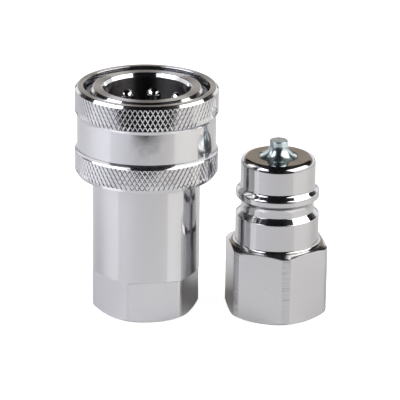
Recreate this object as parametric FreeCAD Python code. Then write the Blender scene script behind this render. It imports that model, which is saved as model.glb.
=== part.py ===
import FreeCAD, Part
import math
import os

# A poppet type hydraulic quick coupler, uncoupled: the socket stands on the origin and the plug beside it.
# Sizes are in millimetres. Z runs up each half's axis, from its port to its coupling end.

# Ports and wrench flats, alike on both halves
port_r = 9.315               # inner radius of the half inch pipe thread
port_depth = 15.0
port_chamfer = 1.25
flats_across = 27.0
base_inset = 0.2             # flat end face inside the flats
base_chamfer_angle = 30.0    # of the turned edge round that face

# Plug body
plug_x = 37.15               # where the plug stands beside the socket
plug_y = -0.6
plug_height = 46.05          # base to nose face
plug_hex_height = 20.9
plug_hex_corner_r = 14.95    # turned radius of the hexagon's corners
plug_hex_turn = 10.0         # a corner's angle from the front, in degrees
crown_land = 0.35            # level ring between the shoulder's fillet and the hexagon's top chamfer
hex_crown_angle = 18.0
shoulder_fillet = 0.8
nose_step = 1.25             # from the collar in to the nose
nose_fillet = 1.8
collar_r = 11.85             # collar and shoulder
collar_width = 1.6
collar_rounding = 0.4
groove_depth = 1.5           # of the ball groove, below the collar
groove_curve = 2.6           # section radius of the groove's locking side
groove_floor = 1.55          # straight floor below that curve
nose_to_groove = 13.7        # nose face to the balls' plane when coupled

# Socket body
socket_height = 66.0         # base to mouth face
socket_hex_height = 12.2
socket_hex_turn = 40.5
flats_step_angle = 19.0      # slope of the step where the flats end
barrel_r = 15.25
neck_chamfer = 0.75          # outer edge of the flat mouth face
mouth_lead_in = 0.55         # conical inner edge of the mouth
mouth_lead_depth = 1.2
entry_clearance = 0.15       # collar in the mouth
entry_gap = 0.4              # below the seated collar
probe_clearance = 0.1        # nose in the sealed bore
face_gap = 0.6               # between the coupled valve faces
flange_clearance = 0.15      # the flange under the sleeve's spring, in the skirt
flange_height = 1.8
flange_chamfer = 0.4

# Locking balls
ball_count = 10
ball_r = 2.38
ball_depth = 6.7             # below the mouth face
ball_turn = 7.5              # first ball's angle from the rear, in degrees
ball_stand_in = 1.5          # reach into the mouth when locked
ball_release_gap = 0.07      # back from the mouth's wall when released
ball_hole_clearance = 0.07
ball_lip_depth = 0.5         # wall left to the conical lip that keeps a ball in
ball_lip_taper = 0.36
ball_cover = 0.54            # body's wall outside the locked balls

# Locking sleeve
sleeve_rise = 0.25           # stands above the mouth face
sleeve_length = 25.35
sleeve_travel = 5.0
sleeve_clearance = 0.1
knurl_rise = 0.65            # knurls above the smooth grip between them
upper_knurl_width = 6.2
lower_knurl_width = 5.8
sleeve_top_chamfer = 0.8
sleeve_skirt_edge = 0.7      # the lower edge's chamfer, inwards
sleeve_skirt_edge_height = 1.2
sleeve_rim = 2.45            # width of the sleeve's top ring
skirt_wall = 1.5             # round the spring
skirt_chamfer = 0.4
land_cover = 1.0             # the locking land's reach above the balls' plane
land_length = 4.4
recess_gap = 0.12            # round a released ball
stop_height = 1.25           # straight recess between the ramp and the stop face

# Wire ring that stops the sleeve
stop_wire_r = 1.0
stop_groove_depth = 0.4
stop_groove_play = 0.05
stop_seat_gap = 0.05
stop_ring_opening = 12.0     # the gap between the ring's ends, in degrees

# Sleeve spring
sleeve_spring_gap = 0.525    # to the neck and to the skirt
sleeve_wire_r = 0.6
sleeve_spring_turns = 3.5
sleeve_spring_reserve = 1.6  # length left when the sleeve is pulled back

# Probe seal in the socket
probe_seal_r = 1.25          # section
probe_seal_squeeze = 0.35    # stands into the bore
backup_width = 1.2
probe_seal_play = 0.05
probe_seal_land = 1.4        # bore above the seal's groove

# Valve, alike in both halves
valve_opening_r = 5.65
valve_lip = 0.8              # straight wall of the opening
valve_chamber_r = 8.3
valve_gap = 0.3              # closed poppet to its conical seat
valve_travel = 5.0
tip_r = 2.6
tip_height = 4.75            # above the valve's face
tip_straight = 1.2
tip_edge = 0.25
poppet_rim_gap = 0.3
poppet_rim_sink = 0.1
poppet_head_r = 7.5
poppet_skirt = 1.8
stem_r = 2.5
stem_engagement = 3.0        # closed stem in its guide
poppet_seal_r = 0.8          # section
poppet_seal_ring_r = 6.4
poppet_seal_gap = 0.1        # seal to the seat
poppet_seal_play = 0.05
valve_spring_r = 5.6
valve_wire_r = 0.6
valve_spring_turns = 4.0
valve_spring_reserve = 1.6
guide_clearance = 0.1
guide_thickness = 2.5
guide_rim = 1.2
hub_r = 3.6
hub_height = 3.5
stem_clearance = 0.08
guide_arms = 3
guide_arm_angle = 40.0       # width of an arm, in degrees
guide_wire_r = 0.6
guide_ring_play = 0.05
guide_ring_opening = 30.0
spring_end_gap = 0.1         # spring to the piece that it pushes
runs_per_turn = 20           # of every coil spring

# Worked out from the sizes above
half_flats = flats_across / 2
base_face_r = half_flats - base_inset
base_slope = math.tan(math.radians(base_chamfer_angle))
root_2 = math.sqrt(2)
nose_r = collar_r - nose_step
groove_r = collar_r - groove_depth
hex_crown_r = collar_r + shoulder_fillet + crown_land
mouth_r = collar_r + entry_clearance
probe_bore_r = nose_r + probe_clearance
groove_rise = math.sqrt(groove_curve ** 2 - (groove_curve - groove_depth) ** 2)
groove_z = plug_height - nose_to_groove
collar_bottom = groove_z + groove_rise
collar_top = collar_bottom + collar_width
ball_z = socket_height - ball_depth
ball_rest_r = mouth_r + ball_r - ball_stand_in
ball_travel = ball_stand_in + ball_release_gap
neck_r = ball_rest_r + ball_r + ball_cover
mouth_rim_r = neck_r - neck_chamfer
entry_bottom = ball_z - (collar_top + nose_step - groove_z) - entry_gap
probe_bore_top = entry_bottom - (mouth_r - probe_bore_r)
probe_groove_r = probe_bore_r - probe_seal_squeeze + 2 * probe_seal_r + probe_seal_play
probe_groove_top = probe_bore_top - probe_seal_land
probe_groove_bottom = probe_groove_top - 2 * probe_seal_r - backup_width - 2 * probe_seal_play
socket_valve_z = ball_z - nose_to_groove - face_gap

sleeve_spring_r = neck_r + sleeve_spring_gap + sleeve_wire_r
skirt_r = sleeve_spring_r + sleeve_wire_r + sleeve_spring_gap
flange_r = skirt_r - flange_clearance
band_r = skirt_r + skirt_wall
knurl_r = band_r + knurl_rise
sleeve_mouth_r = knurl_r - sleeve_rim
land_r = neck_r + sleeve_clearance
land_top = ball_z + land_cover
land_bottom = land_top - land_length
recess_r = ball_rest_r + ball_travel + ball_r + recess_gap
ramp_top = land_top + recess_r - land_r
stop_z = ramp_top + stop_height
sleeve_top = socket_height + sleeve_rise
sleeve_bottom = sleeve_top - sleeve_length
sleeve_spring_length = (sleeve_spring_turns + 1) * 2 * sleeve_wire_r + sleeve_spring_reserve + sleeve_travel
flange_top = land_bottom - sleeve_spring_length
stop_ring_r = neck_r - stop_groove_depth + stop_wire_r
stop_ring_z = stop_z + stop_ring_r - recess_r + (stop_wire_r + stop_seat_gap) * root_2

poppet_cone = valve_opening_r - valve_lip - valve_gap * root_2   # radius plus height along the poppet's cone
poppet_rim_r = valve_opening_r - poppet_rim_gap
head_bottom = poppet_cone - poppet_head_r - poppet_skirt
valve_spring_length = (valve_spring_turns + 1) * 2 * valve_wire_r + valve_spring_reserve + valve_travel
guide_seat = head_bottom - valve_spring_length
guide_bottom = guide_seat - guide_thickness
guide_ring_z = guide_bottom - guide_wire_r
poppet_seal_z = (valve_opening_r - valve_lip - poppet_seal_ring_r
                 - (poppet_seal_r + poppet_seal_gap) * root_2)

up = FreeCAD.Vector(0, 0, 1)
centre = FreeCAD.Vector(0, 0, 0)
spare = 1.0                  # how far cutting tools run past a face


def point(r, z):
    return FreeCAD.Vector(r, 0, z)


def turned(outline, angle=360):
    # Revolves an outline of (r, z) corners. A step of four numbers is an arc: a point on it, then its end.
    edges = []
    here = point(*outline[0])
    for step in outline[1:] + [outline[0]]:
        end = point(*step[-2:])
        if len(step) == 4:
            edges.append(Part.Arc(here, point(*step[:2]), end).toShape())
        else:
            edges.append(Part.LineSegment(here, end).toShape())
        here = end
    return Part.Face(Part.Wire(edges)).revolve(centre, up, angle)


def arc_middle(arc_centre, start, end):
    # The point of an arc halfway between two of its points.
    along_r = (start[0] + end[0]) / 2 - arc_centre[0]
    along_z = (start[1] + end[1]) / 2 - arc_centre[1]
    radius = math.dist(arc_centre, start)
    reach = radius / math.hypot(along_r, along_z)
    return (arc_centre[0] + along_r * reach, arc_centre[1] + along_z * reach)


def turned_by(shape, angle):
    copy = shape.copy()
    copy.rotate(centre, up, angle)
    return copy


def lifted(shape, z):
    copy = shape.copy()
    copy.translate(FreeCAD.Vector(0, 0, z))
    return copy


def tube(outer_r, inner_r, bottom, height):
    outer = Part.makeCylinder(outer_r, height, point(0, bottom))
    return outer.cut(Part.makeCylinder(inner_r, height, point(0, bottom)))


def wire_ring(ring_r, wire_r, z, opening):
    # An open ring of round wire, its gap at the rear.
    section = Part.Face(Part.Wire(Part.makeCircle(wire_r, point(ring_r, z), FreeCAD.Vector(0, 1, 0))))
    ring = section.revolve(centre, up, 360 - opening)
    return turned_by(ring, 90 + opening / 2)


def rounded(shape, radius, r, z):
    # Fillets the circular edge at that radius and height.
    edges = [edge for edge in shape.Edges
             if isinstance(edge.Curve, Part.Circle)
             and abs(edge.Curve.Radius - r) < 1e-6 and abs(edge.Curve.Center.z - z) < 1e-6]
    return shape.makeFillet(radius, edges)


def coil_spring(mean_r, wire_r, turns, length):
    # A coil of round wire standing on z = 0, bent in short straight runs along the helix.
    run_count = round(turns * runs_per_turn)
    corners = []
    for run in range(run_count + 1):
        angle = 2 * math.pi * turns * run / run_count
        rise = wire_r + (length - 2 * wire_r) * run / run_count
        corners.append(FreeCAD.Vector(mean_r * math.cos(angle), mean_r * math.sin(angle), rise))
    section = Part.Wire(Part.makeCircle(wire_r, corners[0], corners[1] - corners[0]))
    mitred = 1
    return Part.makePolygon(corners).makePipeShell([section], True, False, mitred)


def hexagon(apothem, z, turn):
    # A level hexagon with a corner at that angle from the front.
    corner = apothem / math.cos(math.radians(30))
    corners = []
    for side in range(7):
        angle = math.radians(turn - 90 + 60 * side)
        corners.append(FreeCAD.Vector(corner * math.cos(angle), corner * math.sin(angle), z))
    return Part.makePolygon(corners)


def flats_outside(corner_r, top, turn):
    # The material that milling takes off above the base to leave a hexagon.
    prism = Part.Face(hexagon(half_flats, 0, turn)).extrude(up * top)
    return Part.makeCylinder(corner_r + spare, top).cut(prism)


def step_outside(corner_r, bottom, turn):
    # The material that the cutter takes off where the flats end, so that they run out in sloping steps.
    apothem = corner_r + 2 * spare
    rise = (apothem - half_flats) * math.tan(math.radians(flats_step_angle))
    kept = Part.makeLoft([hexagon(half_flats, bottom, turn), hexagon(apothem, bottom + rise, turn)], True, True)
    return Part.makeCylinder(corner_r + spare, rise, point(0, bottom)).cut(kept)


def inner_passage(valve_z):
    # The inside of a half from its valve opening down to the port's mouth, as the end of a body's outline.
    seat_bottom = valve_z - valve_lip - (valve_chamber_r - valve_opening_r)
    step = port_r - valve_chamber_r
    return [
        (valve_opening_r, valve_z),
        (valve_opening_r, valve_z - valve_lip),
        (valve_chamber_r, seat_bottom),
        (valve_chamber_r, port_depth + step),
        (port_r, port_depth),
        (port_r, port_chamfer),
        (port_r + port_chamfer, 0),
    ]


def guide_ring_groove(valve_z):
    groove_wire_r = guide_wire_r + guide_ring_play
    return Part.makeTorus(valve_chamber_r, groove_wire_r, point(0, valve_z + guide_ring_z))


def make_socket_body():
    body = turned([
        (base_face_r, 0),
        (barrel_r, (barrel_r - base_face_r) * base_slope),
        (barrel_r, flange_top - flange_height),
        (flange_r - flange_chamfer, flange_top - flange_height),
        (flange_r, flange_top - flange_height + flange_chamfer),
        (flange_r, flange_top),
        (neck_r, flange_top),
        (neck_r, socket_height - neck_chamfer),
        (mouth_rim_r, socket_height),
        (mouth_r + mouth_lead_in, socket_height),
        (mouth_r, socket_height - mouth_lead_depth),
        (mouth_r, entry_bottom),
        (probe_bore_r, probe_bore_top),
        (probe_bore_r, probe_groove_top),
        (probe_groove_r, probe_groove_top),
        (probe_groove_r, probe_groove_bottom),
        (probe_bore_r, probe_groove_bottom),
        (probe_bore_r, socket_valve_z),
    ] + inner_passage(socket_valve_z))
    body = body.cut(flats_outside(barrel_r, socket_hex_height, socket_hex_turn))
    body = body.cut(step_outside(barrel_r, socket_hex_height, socket_hex_turn))
    body = body.cut(guide_ring_groove(socket_valve_z))
    stop_groove = Part.makeTorus(stop_ring_r, stop_wire_r + stop_groove_play, point(0, stop_ring_z))
    body = body.cut(stop_groove)
    for ball in range(ball_count):
        body = body.cut(turned_by(ball_hole(), ball_angle(ball)))
    return body


def ball_angle(ball):
    return 90 - ball_turn - 360 / ball_count * ball


def ball_hole():
    # A radial hole along X with a conical lip on its inner end.
    hole_r = ball_r + ball_hole_clearance
    lip_end = mouth_r + ball_lip_depth
    lip_length = ball_lip_depth + spare
    across = FreeCAD.Vector(1, 0, 0)
    straight = Part.makeCylinder(hole_r, neck_r + spare - lip_end, point(lip_end, ball_z), across)
    lip_start = point(lip_end - lip_length, ball_z)
    lip = Part.makeCone(hole_r - lip_length * ball_lip_taper, hole_r, lip_length, lip_start, across)
    return straight.fuse(lip).removeSplitter()


def make_ball(ball):
    angle = math.radians(ball_angle(ball))
    place = FreeCAD.Vector(ball_rest_r * math.cos(angle), ball_rest_r * math.sin(angle), ball_z)
    return Part.makeSphere(ball_r, place)


def make_locking_sleeve():
    upper_knurl_top = sleeve_top - sleeve_top_chamfer
    upper_knurl_bottom = upper_knurl_top - upper_knurl_width
    lower_knurl_bottom = sleeve_bottom + sleeve_skirt_edge_height
    lower_knurl_top = lower_knurl_bottom + lower_knurl_width
    return turned([
        (skirt_r + skirt_chamfer, sleeve_bottom),
        (knurl_r - sleeve_skirt_edge, sleeve_bottom),
        (knurl_r, lower_knurl_bottom),
        (knurl_r, lower_knurl_top),
        (band_r, lower_knurl_top + knurl_rise),
        (band_r, upper_knurl_bottom - knurl_rise),
        (knurl_r, upper_knurl_bottom),
        (knurl_r, upper_knurl_top),
        (knurl_r - sleeve_top_chamfer, sleeve_top),
        (sleeve_mouth_r, sleeve_top),
        (sleeve_mouth_r, stop_z + sleeve_mouth_r - recess_r),
        (recess_r, stop_z),
        (recess_r, ramp_top),
        (land_r, land_top),
        (land_r, land_bottom),
        (skirt_r, land_bottom),
        (skirt_r, sleeve_bottom + skirt_chamfer),
    ])


def make_sleeve_spring():
    length = sleeve_spring_length - spring_end_gap
    return lifted(coil_spring(sleeve_spring_r, sleeve_wire_r, sleeve_spring_turns, length), flange_top)


def make_probe_seal():
    ring_r = probe_groove_r - probe_seal_play - probe_seal_r
    return Part.makeTorus(ring_r, probe_seal_r, point(0, probe_groove_bottom + probe_seal_r))


def make_probe_backup_ring():
    outer_r = probe_groove_r - probe_seal_play
    return tube(outer_r, probe_bore_r, probe_groove_top - backup_width, backup_width)


def make_plug_body():
    corner_drop = (plug_hex_corner_r - hex_crown_r) * math.tan(math.radians(hex_crown_angle))
    fillet_centre = (collar_r + shoulder_fillet, plug_hex_height + shoulder_fillet)
    fillet_start = (fillet_centre[0], plug_hex_height)
    fillet_end = (collar_r, fillet_centre[1])
    curve_centre = (groove_r + groove_curve, groove_z)
    curve_start = (groove_r, groove_z)
    curve_end = (collar_r, collar_bottom)
    nose_centre = (nose_r - nose_fillet, plug_height - nose_fillet)
    nose_start = (nose_r, nose_centre[1])
    nose_end = (nose_centre[0], plug_height)
    floor_bottom = groove_z - groove_floor
    body = turned([
        (base_face_r, 0),
        (plug_hex_corner_r, (plug_hex_corner_r - base_face_r) * base_slope),
        (plug_hex_corner_r, plug_hex_height - corner_drop),
        (hex_crown_r, plug_hex_height),
        fillet_start,
        arc_middle(fillet_centre, fillet_start, fillet_end) + fillet_end,
        (collar_r, floor_bottom - groove_depth),
        (groove_r, floor_bottom),
        curve_start,
        arc_middle(curve_centre, curve_start, curve_end) + curve_end,
        (collar_r, collar_top),
        (nose_r, collar_top + nose_step),
        nose_start,
        arc_middle(nose_centre, nose_start, nose_end) + nose_end,
    ] + inner_passage(plug_height))
    body = rounded(body, collar_rounding, collar_r, collar_bottom)
    body = rounded(body, collar_rounding, collar_r, collar_top)
    body = body.cut(flats_outside(plug_hex_corner_r, plug_hex_height, plug_hex_turn))
    return body.cut(guide_ring_groove(plug_height))


def make_poppet():
    # The valve's face is z = 0. The tip flares into the rim, and the cone below the rim closes the seat.
    flare_top = tip_height - tip_straight
    flare_out = poppet_rim_r - tip_r
    flare_drop = flare_top + poppet_rim_sink
    flare_r = (flare_out ** 2 + flare_drop ** 2) / (2 * flare_out)
    flare_start = (tip_r, flare_top)
    flare_end = (poppet_rim_r, -poppet_rim_sink)
    flare_middle = arc_middle((tip_r + flare_r, flare_top), flare_start, flare_end)
    stem_bottom = guide_seat + hub_height - stem_engagement
    poppet = turned([
        (0, tip_height),
        (tip_r - tip_edge, tip_height),
        (tip_r, tip_height - tip_edge),
        flare_start,
        flare_middle + flare_end,
        (poppet_rim_r, poppet_cone - poppet_rim_r),
        (poppet_head_r, poppet_cone - poppet_head_r),
        (poppet_head_r, head_bottom),
        (stem_r, head_bottom),
        (stem_r, stem_bottom + tip_edge),
        (stem_r - tip_edge, stem_bottom),
        (0, stem_bottom),
    ])
    groove = Part.makeTorus(poppet_seal_ring_r, poppet_seal_r + poppet_seal_play, point(0, poppet_seal_z))
    return poppet.cut(groove)


def make_poppet_seal():
    return Part.makeTorus(poppet_seal_ring_r, poppet_seal_r, point(0, poppet_seal_z))


def make_poppet_spring():
    length = valve_spring_length - spring_end_gap
    return lifted(coil_spring(valve_spring_r, valve_wire_r, valve_spring_turns, length), guide_seat)


def make_valve_guide():
    # A hub and a rim joined by arms, with the flow passing between them.
    rim_r = valve_chamber_r - guide_clearance
    guide = Part.makeCylinder(rim_r, guide_thickness, point(0, guide_bottom))
    guide = guide.fuse(Part.makeCylinder(hub_r, guide_thickness + hub_height, point(0, guide_bottom)))
    window = turned([
        (hub_r, guide_bottom),
        (rim_r - guide_rim, guide_bottom),
        (rim_r - guide_rim, guide_seat),
        (hub_r, guide_seat),
    ], 360 / guide_arms - guide_arm_angle)
    for arm in range(guide_arms):
        guide = guide.cut(turned_by(window, 360 / guide_arms * arm))
    bore_height = guide_thickness + hub_height
    guide = guide.cut(Part.makeCylinder(stem_r + stem_clearance, bore_height, point(0, guide_bottom)))
    return guide.removeSplitter()


def make_guide_ring():
    return wire_ring(valve_chamber_r, guide_wire_r, guide_ring_z, guide_ring_opening)


def export(name, shape, x=0, y=0, z=0):
    shape.translate(FreeCAD.Vector(x, y, z))
    shape.exportStep("parts/" + name + ".step")


os.makedirs("parts", exist_ok=True)
export("socket_body", make_socket_body())
export("locking_sleeve", make_locking_sleeve())
export("sleeve_spring", make_sleeve_spring())
export("sleeve_stop_ring", wire_ring(stop_ring_r, stop_wire_r, stop_ring_z, stop_ring_opening))
for ball in range(ball_count):
    export("locking_ball_%02d" % (ball + 1), make_ball(ball))
export("probe_seal", make_probe_seal())
export("probe_backup_ring", make_probe_backup_ring())
export("plug_body", make_plug_body(), plug_x, plug_y)
for half, x, y, valve_z in [("socket", 0, 0, socket_valve_z), ("plug", plug_x, plug_y, plug_height)]:
    export(half + "_poppet", make_poppet(), x, y, valve_z)
    export(half + "_poppet_seal", make_poppet_seal(), x, y, valve_z)
    export(half + "_poppet_spring", make_poppet_spring(), x, y, valve_z)
    export(half + "_valve_guide", make_valve_guide(), x, y, valve_z)
    export(half + "_guide_ring", make_guide_ring(), x, y, valve_z)
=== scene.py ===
import bpy
import bmesh
import math
from mathutils import Matrix, Vector


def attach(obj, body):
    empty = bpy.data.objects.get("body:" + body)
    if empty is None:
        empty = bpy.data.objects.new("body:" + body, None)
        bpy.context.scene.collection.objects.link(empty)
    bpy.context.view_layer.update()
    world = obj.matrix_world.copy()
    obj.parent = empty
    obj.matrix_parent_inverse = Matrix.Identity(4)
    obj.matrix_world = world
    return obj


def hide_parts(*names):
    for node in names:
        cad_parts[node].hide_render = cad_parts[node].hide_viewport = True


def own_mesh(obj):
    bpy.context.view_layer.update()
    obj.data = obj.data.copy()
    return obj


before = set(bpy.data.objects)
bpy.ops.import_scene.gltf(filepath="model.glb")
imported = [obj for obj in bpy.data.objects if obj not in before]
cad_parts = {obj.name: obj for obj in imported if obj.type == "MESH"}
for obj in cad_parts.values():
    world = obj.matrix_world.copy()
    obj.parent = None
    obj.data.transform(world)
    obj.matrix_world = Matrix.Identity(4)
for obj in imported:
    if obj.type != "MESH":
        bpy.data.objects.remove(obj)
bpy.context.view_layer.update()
mm = 0.001
upright = (0, 0, 1)
middle = (0, 0, 0)
pureWhite = (1, 1, 1, 1)
fullTurn = 2 * math.pi
levelFace = 0.99                  # a face whose normal points up this far counts as level
plugAxis = Vector((37.15, -0.6, 0)) * mm
socketAxis = Vector((0, 0, 0))
print("frame loaded")


def linear(code):
    # sRGB hex to linear RGBA
    parts = [int(code[i:i + 2], 16) / 255 for i in (0, 2, 4)]
    return [p / 12.92 if p <= 0.04045 else ((p + 0.055) / 1.055) ** 2.4 for p in parts] + [1.0]


def addNode(tree, kind, links=None, sockets=None, **settings):
    node = tree.nodes.new(kind)
    for key, value in settings.items():
        setattr(node, key, value)
    for key, value in (sockets or {}).items():
        node.inputs[key].default_value = value
    for key, source in (links or {}).items():
        tree.links.new(source, node.inputs[key])
    return node


def newMaterial(name):
    material = bpy.data.materials.new(name)
    material.use_nodes = True
    tree = material.node_tree
    tree.nodes.clear()
    return material, tree


noiseSpan = {"From Min": 0.35, "From Max": 0.7}    # where most values of a noise texture lie


def turnedMetal(name, look, axis):
    # Plated steel from the lathe: a clear reflection, and over it the tool marks' streaks along the axis.
    material, tree = newMaterial(name)
    place = addNode(tree, "ShaderNodeTexCoord").outputs["Object"]
    fromAxis = addNode(tree, "ShaderNodeVectorMath", {0: place}, {1: axis}, operation="SUBTRACT").outputs[0]
    around = addNode(tree, "ShaderNodeVectorMath", {0: fromAxis}, {1: upright},
                     operation="CROSS_PRODUCT").outputs[0]
    facing = addNode(tree, "ShaderNodeNewGeometry").outputs["Normal"]
    across = addNode(tree, "ShaderNodeVectorMath", {0: facing, 1: around}, operation="CROSS_PRODUCT").outputs[0]
    ringPlace = addNode(tree, "ShaderNodeVectorMath", {0: fromAxis}, {1: look["ringStretch"]},
                        operation="MULTIPLY").outputs[0]
    rings = addNode(tree, "ShaderNodeTexNoise", {"Vector": ringPlace},
                    {"Scale": 1 / (look["ringPitch"] * mm), "Detail": 3.0, "Roughness": 0.65})
    cloud = addNode(tree, "ShaderNodeTexNoise", {"Vector": place},
                    {"Scale": 1 / (look["cloudSize"] * mm), "Detail": 4.0, "Roughness": 0.6})
    low, high = look["roughness"]
    roughness = addNode(tree, "ShaderNodeMapRange", {"Value": cloud.outputs[0]},
                        {**noiseSpan, "To Min": low, "To Max": high})
    bump = addNode(tree, "ShaderNodeBump", {"Height": rings.outputs[0]},
                   {"Strength": look["ringStrength"], "Distance": look["ringDepth"] * mm})
    smooth = addNode(tree, "ShaderNodeBsdfPrincipled",
                     {"Roughness": roughness.outputs[0], "Normal": bump.outputs[0], "Tangent": across},
                     {"Base Color": linear(look["colour"]), "Metallic": 1.0, "Anisotropic": look["spread"]})
    marks = addNode(tree, "ShaderNodeBsdfPrincipled", {"Normal": bump.outputs[0], "Tangent": across},
                    {"Base Color": linear(look["colour"]), "Metallic": 1.0, "Anisotropic": 0.95,
                     "Roughness": look["markRoughness"]})
    shader = addNode(tree, "ShaderNodeMixShader", {1: smooth.outputs[0], 2: marks.outputs[0]},
                     {0: look["markShare"]})
    addNode(tree, "ShaderNodeOutputMaterial", {"Surface": shader.outputs[0]})
    return material


def plainMetal(name, look):
    # Plated or ground steel without tool rings: an even sheen that small clouds break up.
    material, tree = newMaterial(name)
    place = addNode(tree, "ShaderNodeTexCoord").outputs["Object"]
    grainPlace = addNode(tree, "ShaderNodeVectorMath", {0: place}, {1: look["grainStretch"]},
                         operation="MULTIPLY").outputs[0]
    grain = addNode(tree, "ShaderNodeTexNoise", {"Vector": grainPlace},
                    {"Scale": 1 / (look["grainSize"] * mm), "Detail": 4.0, "Roughness": 0.6})
    low, high = look["roughness"]
    roughness = addNode(tree, "ShaderNodeMapRange", {"Value": grain.outputs[0]},
                        {**noiseSpan, "To Min": low, "To Max": high})
    bump = addNode(tree, "ShaderNodeBump", {"Height": grain.outputs[0]},
                   {"Strength": look["grainStrength"], "Distance": look["grainDepth"] * mm})
    shader = addNode(tree, "ShaderNodeBsdfPrincipled",
                     {"Roughness": roughness.outputs[0], "Normal": bump.outputs[0]},
                     {"Base Color": linear(look["colour"]), "Metallic": 1.0})
    addNode(tree, "ShaderNodeOutputMaterial", {"Surface": shader.outputs[0]})
    return material


def softPolymer(name, look):
    # Moulded or skived polymer: a dull even surface with a faint grain.
    material, tree = newMaterial(name)
    place = addNode(tree, "ShaderNodeTexCoord").outputs["Object"]
    grain = addNode(tree, "ShaderNodeTexNoise", {"Vector": place},
                    {"Scale": 1 / (look["grainSize"] * mm), "Detail": 2.0})
    bump = addNode(tree, "ShaderNodeBump", {"Height": grain.outputs[0]},
                   {"Strength": look["grainStrength"], "Distance": look["grainDepth"] * mm})
    shader = addNode(tree, "ShaderNodeBsdfPrincipled", {"Normal": bump.outputs[0]},
                     {"Base Color": linear(look["colour"]), "Roughness": look["roughness"]})
    addNode(tree, "ShaderNodeOutputMaterial", {"Surface": shader.outputs[0]})
    return material


# sizes in mm; real feed marks lie about 0.1 mm apart, so all rings are drawn coarser, to show at all
# fine turning under bright zinc: a clear mirror with soft streaks up and down
turnedLook = {"colour": "cfcfd1", "ringStretch": (0.02, 0.02, 1.0), "ringPitch": 0.35, "ringStrength": 0.4,
              "ringDepth": 0.005, "cloudSize": 3.0, "roughness": (0.07, 0.15), "spread": 0.5,
              "markShare": 0.15, "markRoughness": 0.42}
# burnished bright zinc: the sharpest mirror
brightLook = {"colour": "cfcfd1", "ringStretch": (0.02, 0.02, 1.0), "ringPitch": 0.35, "ringStrength": 0.15,
              "ringDepth": 0.002, "cloudSize": 4.0, "roughness": (0.04, 0.09), "spread": 0.3,
              "markShare": 0.05, "markRoughness": 0.4}
noseLook = {**brightLook, "colour": "c5c5c7"}    # the plug's nose is coloured a shade darker than the socket's
# end faces: the rings of the facing cut blur the mirror
facedLook = {**turnedLook, "colour": "d3d3d5", "markShare": 0.6, "markRoughness": 0.5}
# corners of the plug's hexagon: rough turning, whose rings are drawn the coarsest, as bars across the corner
cornerLook = {**turnedLook, "colour": "c7c7c9", "ringPitch": 1.3, "ringStrength": 1.0, "ringDepth": 0.25}
# flats of drawn bar under zinc: satin, with a grain that runs up and down
flatLook = {"colour": "cfcfd1", "grainStretch": (1.0, 1.0, 0.35), "grainSize": 0.7, "grainStrength": 0.25,
            "grainDepth": 0.01, "roughness": (0.17, 0.28)}
plugFlatLook = {**flatLook, "colour": "c5c5c7"}
# rolled knurl: small bright facets
knurlLook = {"colour": "cfcfd1", "grainStretch": (1.0, 1.0, 1.0), "grainSize": 0.5, "grainStrength": 0.15,
             "grainDepth": 0.004, "roughness": (0.07, 0.13)}
# clear blue zinc: a cool and softer mirror
blueLook = {"colour": "cddce0", "ringStretch": (0.02, 0.02, 1.0), "ringPitch": 0.3, "ringStrength": 0.2,
            "ringDepth": 0.003, "cloudSize": 1.5, "roughness": (0.16, 0.26), "spread": 0.4,
            "markShare": 0.2, "markRoughness": 0.5}
# bored inside wall: streaked zinc, its colour darkened as painted shade inside the mouth
boreLook = {"colour": "706e70", "ringStretch": (0.02, 0.02, 1.0), "ringPitch": 0.3, "ringStrength": 0.4,
            "ringDepth": 0.004, "cloudSize": 2.0, "roughness": (0.16, 0.28), "spread": 0.6,
            "markShare": 0.3, "markRoughness": 0.45}
# polished ball: a small clear mirror
ballLook = {"colour": "c8c6c4", "grainStretch": (1.0, 1.0, 1.0), "grainSize": 0.3, "grainStrength": 0.03,
            "grainDepth": 0.001, "roughness": (0.03, 0.06)}
# drawn wire: grey satin
wireLook = {"colour": "8f8f93", "grainStretch": (1.0, 1.0, 1.0), "grainSize": 0.4, "grainStrength": 0.1,
            "grainDepth": 0.004, "roughness": (0.2, 0.34)}
# moulded rubber: dull and black
nitrileLook = {"colour": "1b1b1d", "roughness": 0.55, "grainSize": 0.4, "grainStrength": 0.2,
               "grainDepth": 0.02}
# skived from a block: waxy and white
ptfeLook = {**nitrileLook, "colour": "e4e3dd", "roughness": 0.5}

socketTurned = turnedMetal("turnedBrightZincSocket", turnedLook, socketAxis)
plugTurned = turnedMetal("turnedBrightZincPlug", cornerLook, plugAxis)
socketBright = turnedMetal("burnishedBrightZincSocket", brightLook, socketAxis)
socketFaced = turnedMetal("facedBrightZincSocket", facedLook, socketAxis)
plugBright = turnedMetal("burnishedBrightZincPlug", noseLook, plugAxis)
socketBore = turnedMetal("boredBrightZincSocket", boreLook, socketAxis)
socketFlat = plainMetal("drawnBarBrightZincSocket", flatLook)
plugFlat = plainMetal("drawnBarBrightZincPlug", plugFlatLook)
knurlZinc = plainMetal("rolledKnurlBrightZinc", knurlLook)
socketBlue = turnedMetal("turnedBlueZincSocket", blueLook, socketAxis)
plugBlue = turnedMetal("turnedBlueZincPlug", blueLook, plugAxis)
ballSteel = plainMetal("polishedBallSteel", ballLook)
springWire = plainMetal("drawnSpringWire", wireLook)
nitrile = softPolymer("mouldedNitrile", nitrileLook)
ptfe = softPolymer("skivedPtfe", ptfeLook)
print("materials made")

# steps round a turned piece, bevel steps for each mm of a rounding, and the loop that ends a rounding's shading
turning = {"steps": 180, "stepsPerMm": 8, "leastSteps": 3, "holdGap": 0.02, "shortRun": 0.3, "mergeGap": 1e-7}


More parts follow.
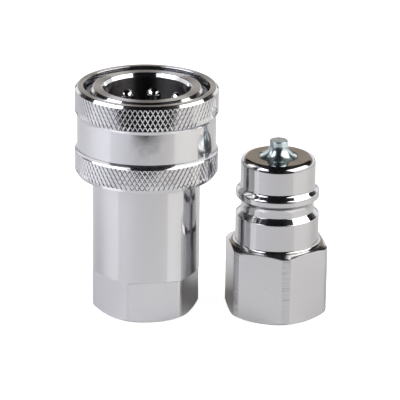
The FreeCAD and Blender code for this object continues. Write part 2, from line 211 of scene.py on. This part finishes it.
def turnedMesh(outline, axis, closed=True, steps=turning["steps"]):
    # Spins an outline of (radius, height, rounding) corners about an upright axis.
    bm = bmesh.new()
    corners = [bm.verts.new((corner[0] * mm, 0, corner[1] * mm)) for corner in outline]
    pairs = list(zip(corners, corners[1:]))
    if closed:
        pairs.append((corners[-1], corners[0]))
    for pair in pairs:
        bm.edges.new(pair)
    rounded = []
    for corner, entry in zip(corners, outline):
        if len(entry) > 2:
            segments = max(turning["leastSteps"], int(entry[2] * turning["stepsPerMm"]))
            rounded += bmesh.ops.bevel(bm, geom=[corner], offset=entry[2] * mm, offset_type="OFFSET",
                                       segments=segments, profile=0.5, affect="VERTICES", material=-1)["verts"]
    for vert in rounded:
        for edge in [edge for edge in vert.link_edges if edge.calc_length() > turning["shortRun"] * mm]:
            # keeps the straight run's shading straight
            bmesh.utils.edge_split(edge, vert, turning["holdGap"] * mm / edge.calc_length())
    bmesh.ops.spin(bm, geom=bm.verts[:] + bm.edges[:], axis=upright, cent=middle, angle=fullTurn, steps=steps,
                   use_merge=True)
    bmesh.ops.remove_doubles(bm, verts=bm.verts[:], dist=turning["mergeGap"])
    bmesh.ops.translate(bm, verts=bm.verts[:], vec=axis)
    bmesh.ops.recalc_face_normals(bm, faces=bm.faces[:])
    return bm


def meshObject(name, bm):
    mesh = bpy.data.meshes.new(name)
    bm.to_mesh(mesh)
    bm.free()
    thing = bpy.data.objects.new(name, mesh)
    bpy.context.scene.collection.objects.link(thing)
    return thing


def makePiece(name, bm, materials, body, nodes, sharpAngle=38, flatSlots=()):
    piece = meshObject(name, bm)
    mesh = piece.data
    for material in materials:
        mesh.materials.append(material)
    mesh.set_sharp_from_angle(angle=math.radians(sharpAngle))
    for polygon in mesh.polygons:
        polygon.use_smooth = polygon.material_index not in flatSlots
    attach(piece, body)
    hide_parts(*nodes)
    return piece


def joinMesh(bm, other):
    # Adds a second shell to a mesh under construction.
    holder = bpy.data.meshes.new("holder")
    other.to_mesh(holder)
    other.free()
    bm.from_mesh(holder)
    bpy.data.meshes.remove(holder)


milling = {"sides": 6, "uprightSlope": 90, "planeGap": 1e-8, "breakSteps": 2}


def cutFlats(bm, axis, settings, flatSlot, foot=0, slope=milling["uprightSlope"]):
    # Mills six flats, or the sloping steps above them: each plane takes off what lies outside it, and the cut
    # is filled. The edges of an upright flat are broken.
    tilt = math.radians(slope)
    for side in range(milling["sides"]):
        angle = math.radians(settings["turn"] + 360 / milling["sides"] * side)
        outward = Vector((math.cos(angle), math.sin(angle), 0))
        spot = axis + outward * (settings["acrossFlats"] / 2 * mm) + Vector((0, 0, foot * mm))
        cut = bmesh.ops.bisect_plane(bm, geom=bm.verts[:] + bm.edges[:] + bm.faces[:], dist=milling["planeGap"],
                                     plane_co=spot, clear_outer=True,
                                     plane_no=outward * math.sin(tilt) - Vector((0, 0, math.cos(tilt))))
        rim = [item for item in cut["geom_cut"] if isinstance(item, bmesh.types.BMEdge)]
        filled = bmesh.ops.contextual_create(bm, geom=rim)["faces"]
        for face in filled:
            face.material_index = flatSlot
        if slope < milling["uprightSlope"]:
            continue
        border = list({edge for face in filled for edge in face.edges})
        bmesh.ops.bevel(bm, geom=border, offset=settings["edgeBreak"] * mm, offset_type="OFFSET",
                        segments=milling["breakSteps"], profile=0.5, affect="EDGES", material=-1)
    bmesh.ops.recalc_face_normals(bm, faces=bm.faces[:])


# half inch pipe thread; bury is how far the ridge's foot stands inside the wall
portThread = {"root": 10.35, "crest": 9.33, "pitch": 1.814, "crestFlat": 0.5, "bottom": 1.6, "top": 13.4,
              "bury": 0.05, "stepsPerTurn": 60}


def threadRidge(settings, axis):
    # An internal thread: a pointed ridge wound up the port's wall.
    turns = (settings["top"] - settings["bottom"]) / settings["pitch"]
    steps = int(turns * settings["stepsPerTurn"])
    root, crest = settings["root"] + settings["bury"], settings["crest"]
    half, flat = settings["pitch"] / 2, settings["crestFlat"] / 2
    bm = bmesh.new()
    section = [(root, -half), (crest, -flat), (crest, flat), (root, half)]
    corners = [bm.verts.new((r * mm, 0, (settings["bottom"] + z) * mm)) for r, z in section]
    for pair in zip(corners, corners[1:]):
        bm.edges.new(pair)
    rise = (settings["top"] - settings["bottom"]) / steps * mm
    bmesh.ops.spin(bm, geom=bm.verts[:] + bm.edges[:], axis=upright, cent=middle, dvec=(0, 0, rise),
                   angle=fullTurn * turns, steps=steps)
    bmesh.ops.translate(bm, verts=bm.verts[:], vec=axis)
    bmesh.ops.recalc_face_normals(bm, faces=bm.faces[:])
    return bm


# outlines are (radius, height, rounding) in mm; faces inside boreReach from boreFoot to boreHead are the bore
socketBody = {
    "base": [(13.3, 0, 0.08), (15.25, 1.126, 0.12), (15.25, 12.2), (10.35, 12.2), (10.35, 0.6), (10.95, 0)],
    "step": [(15.25, 12.2), (15.25, 12.803), (10.35, 12.803), (10.35, 12.2)],
    "barrel": [(15.25, 12.803), (15.25, 42.1), (17.5, 42.1), (17.9, 42.5), (17.9, 43.9, 0.1), (15.8, 43.9, 0.3),
               (15.8, 55.7), (15.8, 62.3), (15.8, 62.65, 0.1), (15.37, 63.05, 0.2), (15.37, 64.0, 0.2),
               (15.8, 64.4, 0.1), (15.8, 65.25, 0.12), (15.05, 66.0, 0.12), (12.55, 66.0, 0.12),
               (12.0, 64.8, 0.12), (12.0, 62.1), (12.0, 56.3), (12.0, 53.694, 0.1), (10.7, 52.394, 0.1),
               (10.7, 50.994, 0.1), (12.9, 50.994), (12.9, 47.194), (10.7, 47.194, 0.1), (10.7, 45.0, 0.2),
               (5.65, 45.0, 0.1), (5.65, 44.2), (8.3, 41.55), (8.3, 16.015), (10.35, 14.9), (10.35, 12.803)],
    "acrossFlats": 27.0, "turn": 40.5, "edgeBreak": 0.12, "stepFoot": 12.2, "stepAngle": 19.0,
    "boreReach": 12.3, "boreFoot": 46, "boreHead": 64.9, "barrelHead": 43.7,
    "slots": {"turned": 0, "flat": 1, "bright": 2, "bore": 3, "faced": 4},
}
ballLock = {"count": 10, "radius": 2.38, "ring": 12.88, "height": 59.3, "turn": 7.5, "holeRadius": 2.45,
            "lipRadius": 1.9, "lipStart": 11.0, "lipEnd": 12.5, "holeEnd": 17.0, "overlap": 0.01,
            "stepsRound": 48, "stepsUp": 32}


def ballPlace(index):
    angle = math.radians(90 - ballLock["turn"] - 360 / ballLock["count"] * index)
    return Vector((math.cos(angle), math.sin(angle), 0))


def drillBallHoles(barrel):
    # Cuts the ten radial holes with their conical inner lips.
    hole, lip = ballLock["holeRadius"], ballLock["lipRadius"]
    runs = [(ballLock["lipEnd"], ballLock["holeEnd"], hole, hole),
            (ballLock["lipStart"], ballLock["lipEnd"] + ballLock["overlap"], lip, hole)]
    bm = bmesh.new()
    for index in range(ballLock["count"]):
        outward = ballPlace(index)
        spot = Vector((0, 0, ballLock["height"] * mm))
        turn = outward.to_track_quat("Z", "Y").to_matrix().to_4x4()
        for start, end, r1, r2 in runs:
            made = bmesh.ops.create_cone(bm, cap_ends=True, segments=ballLock["stepsRound"], radius1=r1 * mm,
                                         radius2=r2 * mm, depth=(end - start) * mm, matrix=turn)
            bmesh.ops.translate(bm, verts=made["verts"], vec=spot + outward * ((start + end) / 2 * mm))
    drills = meshObject("drills", bm)
    blank = meshObject("blank", barrel)
    cutter = blank.modifiers.new("drill", "BOOLEAN")
    cutter.operation = "DIFFERENCE"
    cutter.object = drills
    cutter.solver = "EXACT"
    cutter.use_self = True
    bpy.context.view_layer.update()
    shape = blank.evaluated_get(bpy.context.evaluated_depsgraph_get())
    drilled = bmesh.new()
    drilled.from_mesh(shape.to_mesh())
    shape.to_mesh_clear()
    bpy.data.objects.remove(drills)
    bpy.data.objects.remove(blank)
    return drilled


slots = socketBody["slots"]
base = turnedMesh(socketBody["base"], socketAxis)
cutFlats(base, socketAxis, socketBody, slots["flat"])
step = turnedMesh(socketBody["step"], socketAxis)
cutFlats(step, socketAxis, socketBody, slots["flat"], socketBody["stepFoot"], socketBody["stepAngle"])
joinMesh(base, step)
joinMesh(base, threadRidge(portThread, socketAxis))
barrel = drillBallHoles(turnedMesh(socketBody["barrel"], socketAxis))
for face in barrel.faces:
    centre = face.calc_center_median() / mm
    inside = math.hypot(centre.x, centre.y) < socketBody["boreReach"]
    if inside and socketBody["boreFoot"] < centre.z < socketBody["boreHead"]:
        face.material_index = slots["bore"]
    elif centre.z < socketBody["barrelHead"]:
        face.material_index = slots["turned"]
    else:
        face.material_index = slots["faced" if face.normal.z > levelFace else "bright"]
joinMesh(base, barrel)
makePiece("socketBody", base, [socketTurned, socketFlat, socketBright, socketBore, socketFaced], "housings",
          ["socket_body"], flatSlots=(slots["flat"],))
for index in range(ballLock["count"]):
    bm = bmesh.new()
    bmesh.ops.create_uvsphere(bm, u_segments=ballLock["stepsRound"], v_segments=ballLock["stepsUp"],
                              radius=ballLock["radius"] * mm)
    spot = ballPlace(index) * (ballLock["ring"] * mm) + Vector((0, 0, ballLock["height"] * mm))
    bmesh.ops.translate(bm, verts=bm.verts[:], vec=spot)
    number = "%02d" % (index + 1)
    makePiece("lockingBall" + number, bm, [ballSteel], "ball_" + number,
              ["locking_ball_" + number], sharpAngle=180)
print("socket body and balls made")

# topShare is the flat part of each diamond in percent, topLean the slope of that flat
sleeve = {
    "outline": [(18.45, 40.9, 0.1), (19.5, 40.9, 0.2), (20.19, 42.1), (20.19, 47.9), (19.55, 48.55, 0.8),
                (19.55, 58.6, 0.5), (20.19, 59.25), (20.19, 65.45), (19.4, 66.25, 0.12), (17.75, 66.25, 0.15),
                (17.75, 63.4), (16.95, 62.6), (16.95, 61.35), (15.9, 60.3), (15.9, 55.9, 0.1), (18.05, 55.9),
                (18.05, 41.3)],
    "knurlRadius": 20.19, "teeth": 90, "halfRows": 5, "grooveDepth": 0.11, "topShare": 66, "topLean": 0.035,
    "edgeGap": 0.01, "touch": 1e-3, "outside": 19.6,
    "slots": {"turned": 0, "knurl": 1, "bright": 2, "faced": 3},
}


def knurl(bm, settings, bands):
    # Rolls a diamond knurl into both bands: every other crossing of the grid rises as a flat topped pyramid.
    pitch = fullTurn / (settings["teeth"] * 2)
    depth, touch = settings["grooveDepth"], settings["touch"]
    peak = depth / (1 - settings["topShare"] / 100)
    tops, rolled = [], set()
    for low, high in bands:
        step = (high - low) / settings["halfRows"]
        for vert in bm.verts:
            r = math.hypot(vert.co.x, vert.co.y) / mm
            height = vert.co.z / mm
            if abs(r - settings["knurlRadius"]) > touch or not low - touch < height < high + touch:
                continue
            row = round((height - low) / step)
            column = round(math.atan2(vert.co.y, vert.co.x) / pitch)
            change = -depth
            rolled.add(vert)
            if (row + column) % 2:
                change += peak
                tops.append(vert)
            vert.co.x *= 1 + change / r
            vert.co.y *= 1 + change / r
    faces = [face for face in bm.faces if rolled.issuperset(face.verts)]
    bmesh.ops.triangulate(bm, faces=faces, quad_method="SHORT_EDGE")
    cut = bmesh.ops.bevel(bm, geom=tops, offset=settings["topShare"], offset_type="PERCENT", segments=1,
                          profile=0.5, affect="VERTICES", material=-1)
    for face in cut["faces"]:
        foot = min(vert.co.z for vert in face.verts)
        for vert in face.verts:    # the tops lean a little towards the mouth
            shrink = 1 - settings["topLean"] * (vert.co.z - foot) / (settings["knurlRadius"] * mm)
            vert.co.x *= shrink
            vert.co.y *= shrink
    bmesh.ops.recalc_face_normals(bm, faces=bm.faces[:])


def sleeveMesh(settings):
    # The sleeve's outline gets the knurls' rows before it is spun.
    outline, bands = [], []
    rows, radius = settings["halfRows"], settings["knurlRadius"]
    root = radius - settings["grooveDepth"]
    for here, after in zip(settings["outline"], settings["outline"][1:] + settings["outline"][:1]):
        low, high = here[1], after[1]
        if here[0] == after[0] == radius:
            bands.append((low, high))
            outline.append((root, low - settings["edgeGap"]))
            outline += [(radius, low + (high - low) * row / rows) for row in range(rows)]
        elif here[0] == radius:
            outline += [here, (root, low + settings["edgeGap"])]
        else:
            outline.append(here)
    bm = turnedMesh(outline, socketAxis, steps=settings["teeth"] * 2)
    knurl(bm, settings, bands)
    slots = settings["slots"]
    upperFoot, upperHead = bands[1]
    for face in bm.faces:
        centre = face.calc_center_median() / mm
        outside = math.hypot(centre.x, centre.y) > settings["outside"]
        if centre.z > upperHead or centre.z > upperFoot and not outside:
            face.material_index = slots["faced" if face.normal.z > levelFace else "bright"]
        elif outside and any(low < centre.z < high for low, high in bands):
            face.material_index = slots["knurl"]
        else:
            face.material_index = slots["turned"]
    return bm


makePiece("lockingSleeve", sleeveMesh(sleeve), [socketTurned, knurlZinc, socketBright, socketFaced], "sleeve",
          ["locking_sleeve"], sharpAngle=30, flatSlots=(sleeve["slots"]["knurl"],))
print("sleeve made")

plugBody = {
    "outline": [(13.3, 0, 0.08), (14.95, 0.953, 0.12), (14.95, 20.266, 0.1), (13.0, 20.9, 0.1),
                (11.85, 20.9, 0.8), (11.85, 29.3, 0.1), (10.35, 30.8, 0.1), (10.35, 34.006, 1.6),
                (11.85, 34.706, 0.3), (11.85, 36.306, 0.35), (10.6, 37.556, 0.35), (10.6, 46.05, 1.78),
                (5.65, 46.05, 0.12), (5.65, 45.25), (8.3, 42.6), (8.3, 16.015), (10.35, 14.9), (10.35, 0.6),
                (10.95, 0)],
    "acrossFlats": 27.0, "turn": 10.0, "edgeBreak": 0.12, "hexHeight": 20.91,
    "slots": {"turned": 0, "flat": 1, "bright": 2},
}
slots = plugBody["slots"]
bm = turnedMesh(plugBody["outline"], plugAxis)
for face in bm.faces:
    if face.calc_center_median().z > plugBody["hexHeight"] * mm:
        face.material_index = slots["bright"]
cutFlats(bm, plugAxis, plugBody, slots["flat"])
joinMesh(bm, threadRidge(portThread, plugAxis))
makePiece("plugBody", bm, [plugTurned, plugFlat, plugBright], "housings", ["plug_body"],
          flatSlots=(slots["flat"],))

# both halves have the same poppet; its heights count from the face that it stands in
poppet = {
    "outline": [(0, 4.75), (2.6, 4.75, 0.2), (2.6, 0.689, 2.83), (5.35, -0.1, 0.08), (5.35, -0.924, 0.1),
                (7.5, -3.074, 0.1), (7.5, -4.874, 0.1), (2.5, -4.874), (2.5, -16.974, 0.2), (0, -16.974)],
    "socketFace": 45.0, "plugFace": 46.05, "steps": 96,
}
for half, axis, material in [("socket", socketAxis, socketBlue), ("plug", plugAxis, plugBlue)]:
    place = axis + Vector((0, 0, poppet[half + "Face"] * mm))
    bm = turnedMesh(poppet["outline"], place, closed=False, steps=poppet["steps"])
    makePiece(half + "Poppet", bm, [material], half + "_valve", [half + "_poppet"])
print("plug and poppets made")

wireForm = {"steps": 20, "stepsPerTurn": 64, "sharpAngle": 60}


def capEnds(bm):
    bmesh.ops.holes_fill(bm, edges=[edge for edge in bm.edges if edge.is_boundary])
    bmesh.ops.recalc_face_normals(bm, faces=bm.faces[:])


def wireSection(ringRadius, wireRadius, height):
    # A round section standing across the wire's run.
    bm = bmesh.new()
    bmesh.ops.create_circle(bm, segments=wireForm["steps"], radius=wireRadius * mm)
    standing = Vector((0, 1, 0)).to_track_quat("Z", "Y").to_matrix()
    bmesh.ops.rotate(bm, verts=bm.verts[:], matrix=standing)
    bmesh.ops.translate(bm, verts=bm.verts[:], vec=(ringRadius * mm, 0, height * mm))
    return bm


def coilPiece(name, settings, axis, node):
    steps = int(settings["turns"] * wireForm["stepsPerTurn"])
    rise = (settings["length"] - 2 * settings["wire"]) / steps * mm
    bm = wireSection(settings["radius"], settings["wire"], settings["wire"])
    bmesh.ops.spin(bm, geom=bm.verts[:] + bm.edges[:], axis=upright, cent=middle, dvec=(0, 0, rise),
                   angle=fullTurn * settings["turns"], steps=steps)
    foot = axis + Vector((0, 0, settings["foot"] * mm))
    bmesh.ops.translate(bm, verts=bm.verts[:], vec=foot)
    capEnds(bm)
    piece = makePiece(name, bm, [springWire], "housings", [node], wireForm["sharpAngle"])
    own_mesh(piece)


sleeveCoil = {"radius": 16.925, "wire": 0.6, "turns": 3.5, "length": 11.9, "foot": 43.9, "travel": 5.0}
valveCoil = {"radius": 5.6, "wire": 0.6, "turns": 4.0, "length": 12.5, "travel": 5.0}
valveFeet = {"socket": 27.526, "plug": 28.576}
coilPiece("sleeveSpring", sleeveCoil, socketAxis, "sleeve_spring")
for half, axis in [("socket", socketAxis), ("plug", plugAxis)]:
    coilPiece(half + "PoppetSpring", {**valveCoil, "foot": valveFeet[half]}, axis,
              half + "_poppet_spring")

stopRing = {"radius": 16.4, "wire": 1.0, "height": 63.535, "opening": 12}
bm = wireSection(stopRing["radius"], stopRing["wire"], stopRing["height"])
gap = math.radians(stopRing["opening"])
bmesh.ops.spin(bm, geom=bm.verts[:] + bm.edges[:], axis=upright, cent=middle, angle=fullTurn - gap,
               steps=turning["steps"])
toRear = Matrix.Rotation(math.pi / 2 + gap / 2, 3, "Z")    # the ring's gap points to the rear
bmesh.ops.rotate(bm, verts=bm.verts[:], cent=middle, matrix=toRear)
capEnds(bm)
makePiece("sleeveStopRing", bm, [springWire], "housings", ["sleeve_stop_ring"],
          wireForm["sharpAngle"])
print("springs and stop ring made")

carriedOver = {
    "probe_seal": nitrile, "socket_poppet_seal": nitrile, "plug_poppet_seal": nitrile,
    "probe_backup_ring": ptfe, "socket_valve_guide": socketBlue, "plug_valve_guide": plugBlue,
    "socket_guide_ring": springWire, "plug_guide_ring": springWire,
}
for name, material in carriedOver.items():
    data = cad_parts[name].data
    data.materials.clear()
    data.materials.append(material)
print("carried over nodes dressed")

# in metres; the level lies just under the pieces' feet, so that the two don't flicker
tableLook = {"halfWidth": 0.7, "front": -0.181, "rear": 0.7, "level": -0.00005, "glow": 0.86,
             "colour": "f4f4f6", "leftPaintedLight": "f9f9fc", "rightPaintedLight": "f6f5f2", "blendWidth": 0.16,
             "sheen": 0.15, "sheenRoughness": 0.05}


def makeTable(settings):
    # Coated white paper, slightly glossy. The eye sees it glow white under the shadows. Metal mirrors it as it
    # is lit, with a painted light tint that is cooler and a touch brighter on the left than on the right, and a
    # faint second mirror of the wall.
    bm = bmesh.new()
    bmesh.ops.create_grid(bm, x_segments=1, y_segments=1, size=0.5)    # one metre square, then scaled
    bmesh.ops.scale(bm, verts=bm.verts[:],
                    vec=(settings["halfWidth"] * 2, settings["rear"] - settings["front"], 1))
    bmesh.ops.translate(bm, verts=bm.verts[:],
                        vec=(0, (settings["rear"] + settings["front"]) / 2, settings["level"]))
    table = meshObject("floor", bm)
    material, tree = newMaterial("whitePaperTable")
    ray = addNode(tree, "ShaderNodeLightPath")
    place = addNode(tree, "ShaderNodeTexCoord").outputs["Object"]
    # painted light: the paper's tint blends from cool on the left to warm on the right
    across = addNode(tree, "ShaderNodeSeparateXYZ", {0: place}).outputs[0]
    share = addNode(tree, "ShaderNodeMapRange", {"Value": across},
                    {"From Min": -settings["blendWidth"], "From Max": settings["blendWidth"]}).outputs[0]
    tint = addNode(tree, "ShaderNodeMix", {"Factor": share},
                   {6: linear(settings["leftPaintedLight"]), 7: linear(settings["rightPaintedLight"])}, data_type="RGBA")
    lit = addNode(tree, "ShaderNodeBsdfDiffuse", {"Color": tint.outputs[2]})
    gloss = addNode(tree, "ShaderNodeBsdfAnisotropic",
                    sockets={"Color": [settings["sheen"]] * 3 + [1.0], "Roughness": settings["sheenRoughness"]})
    mirrored = addNode(tree, "ShaderNodeAddShader", {0: lit.outputs[0], 1: gloss.outputs[0]})
    paper = addNode(tree, "ShaderNodeBsdfDiffuse", sockets={"Color": linear(settings["colour"])})
    glow = addNode(tree, "ShaderNodeEmission", sockets={"Color": pureWhite, "Strength": settings["glow"]})
    seen = addNode(tree, "ShaderNodeAddShader", {0: paper.outputs[0], 1: glow.outputs[0]})
    mix = addNode(tree, "ShaderNodeMixShader",
                  {0: ray.outputs["Is Glossy Ray"], 1: seen.outputs[0], 2: mirrored.outputs[0]})
    addNode(tree, "ShaderNodeOutputMaterial", {"Surface": mix.outputs[0]})
    table.data.materials.append(material)


makeTable(tableLook)

# in metres and degrees round from the front; the wall turns grey between the heights white and grey
wallLook = {"radius": 1.5, "foot": 0.005, "top": 0.75, "start": 48, "end": 300, "steps": 60,
            "colour": "f2f2f4", "strength": 1.3, "greyColour": "94897c", "white": 0.41, "grey": 0.56,
            "rearStart": 0.1, "rearEnd": 0.6, "cornerShadeColour": "4a4744", "cornerShadeStart": 0.6, "cornerShadeEnd": 1.1}


def makeWall(settings):
    # A low wall round the sides and the back, white to the eye. For all other rays it glows as a painted light
    # source: metal mirrors it white below, and grey above at the back, with painted shade towards the corners.
    bm = bmesh.new()
    foot = bm.verts.new((0, -settings["radius"], settings["foot"]))
    head = bm.verts.new((0, -settings["radius"], settings["top"]))
    bm.edges.new((foot, head))
    toStart = Matrix.Rotation(math.radians(settings["start"]), 3, "Z")
    bmesh.ops.rotate(bm, verts=bm.verts[:], cent=middle, matrix=toStart)
    bmesh.ops.spin(bm, geom=bm.verts[:] + bm.edges[:], axis=upright, cent=middle, steps=settings["steps"],
                   angle=math.radians(settings["end"] - settings["start"]))
    wall = meshObject("lowWall", bm)
    material, tree = newMaterial("glowingStudioWall")
    place = addNode(tree, "ShaderNodeTexCoord").outputs["Object"]
    split = addNode(tree, "ShaderNodeSeparateXYZ", {0: place})
    high = addNode(tree, "ShaderNodeMapRange", {"Value": split.outputs[2]},
                   {"From Min": settings["white"], "From Max": settings["grey"]})
    rear = addNode(tree, "ShaderNodeMapRange", {"Value": split.outputs[1]},
                   {"From Min": settings["rearStart"], "From Max": settings["rearEnd"]})
    share = addNode(tree, "ShaderNodeMath", {0: high.outputs[0], 1: rear.outputs[0]}, operation="MULTIPLY")
    # painted shade: the grey upper wall darkens towards the corners
    aside = addNode(tree, "ShaderNodeMath", {0: split.outputs[0]}, operation="ABSOLUTE")
    shade = addNode(tree, "ShaderNodeMapRange", {"Value": aside.outputs[0]},
                    {"From Min": settings["cornerShadeStart"], "From Max": settings["cornerShadeEnd"]})
    upper = addNode(tree, "ShaderNodeMix", {"Factor": shade.outputs[0]},
                    {6: linear(settings["greyColour"]), 7: linear(settings["cornerShadeColour"])}, data_type="RGBA")
    tint = addNode(tree, "ShaderNodeMix", {"Factor": share.outputs[0], 7: upper.outputs[2]},
                   {6: linear(settings["colour"])}, data_type="RGBA")
    # the wall's glow is painted light; only the camera sees it plain white
    glow = addNode(tree, "ShaderNodeEmission", {"Color": tint.outputs[2]}, {"Strength": settings["strength"]})
    white = addNode(tree, "ShaderNodeEmission", sockets={"Color": pureWhite, "Strength": 1.0})
    ray = addNode(tree, "ShaderNodeLightPath")
    mix = addNode(tree, "ShaderNodeMixShader",
                  {0: ray.outputs["Is Camera Ray"], 1: glow.outputs[0], 2: white.outputs[0]})
    addNode(tree, "ShaderNodeOutputMaterial", {"Surface": mix.outputs[0]})
    wall.data.materials.append(material)


makeWall(wallLook)

# in metres; each card stands at its place and faces its target
cards = {
    "leftSoftbox": {"place": (-0.262, -0.092, 0.288), "target": (0, 0, 0.04), "size": (0.347, 0.22),
                    "colour": "f7f7ff", "strength": 4.7},
    "rightSoftbox": {"place": (0.284, -0.057, 0.254), "target": (0.022, 0.03, 0.05), "size": (0.40, 0.20),
                     "colour": "fffcf6", "strength": 3.55},
    "leftLowCard": {"place": (-0.17, -0.25, 0.21), "target": (0, 0, 0.04), "size": (0.09, 0.093),
                    "colour": "f7f7ff", "strength": 1.8},
}
for name, settings in cards.items():
    lamp = bpy.data.lights.new(name, "AREA")
    lamp.shape = "RECTANGLE"
    lamp.size, lamp.size_y = settings["size"]
    lamp.color = linear(settings["colour"])[:3]
    lamp.energy = settings["strength"] * math.pi * settings["size"][0] * settings["size"][1]
    card = bpy.data.objects.new(name, lamp)
    card.location = settings["place"]
    away = Vector(settings["place"]) - Vector(settings["target"])
    card.rotation_euler = away.to_track_quat("Z", "Y").to_euler()
    bpy.context.scene.collection.objects.link(card)

roomLook = {"colour": "242426", "strength": 0.5}    # a dark room, white behind the object
world = bpy.data.worlds.new("studio")
world.use_nodes = True
tree = world.node_tree
tree.nodes.clear()
ray = addNode(tree, "ShaderNodeLightPath")
dark = addNode(tree, "ShaderNodeBackground",
               sockets={"Color": linear(roomLook["colour"]), "Strength": roomLook["strength"]})
white = addNode(tree, "ShaderNodeBackground", sockets={"Color": pureWhite, "Strength": 1.0})
mix = addNode(tree, "ShaderNodeMixShader",
              {0: ray.outputs["Is Camera Ray"], 1: dark.outputs[0], 2: white.outputs[0]})
addNode(tree, "ShaderNodeOutputWorld", {"Surface": mix.outputs[0]})
bpy.context.scene.world = world
bpy.context.scene.view_settings.view_transform = "Standard"

# distance and target in mm, angles in degrees, clip in metres
cameraLook = {"elevation": 20.2, "distance": 810, "target": (15.24, 0, 32.3), "pixelsPerMm": 3.53, "roll": 0.75,
              "sensor": 36.0, "frameSize": 400, "clip": (0.05, 20)}
camera = bpy.data.cameras.new("camera")
camera.sensor_width = cameraLook["sensor"]
pixels = cameraLook["pixelsPerMm"] * cameraLook["distance"]
camera.lens = pixels / cameraLook["frameSize"] * cameraLook["sensor"]
camera.clip_start, camera.clip_end = cameraLook["clip"]
eye = bpy.data.objects.new("camera", camera)
rise = math.radians(cameraLook["elevation"])
back = Vector((0, -math.cos(rise), math.sin(rise)))
eye.location = Vector(cameraLook["target"]) * mm + back * (cameraLook["distance"] * mm)
eye.rotation_euler = back.to_track_quat("Z", "Y").to_matrix().to_4x4().to_euler()
eye.rotation_euler.rotate_axis("Z", math.radians(cameraLook["roll"]))
bpy.context.scene.collection.objects.link(eye)
bpy.context.scene.camera = eye
print("stage, lights and camera made")
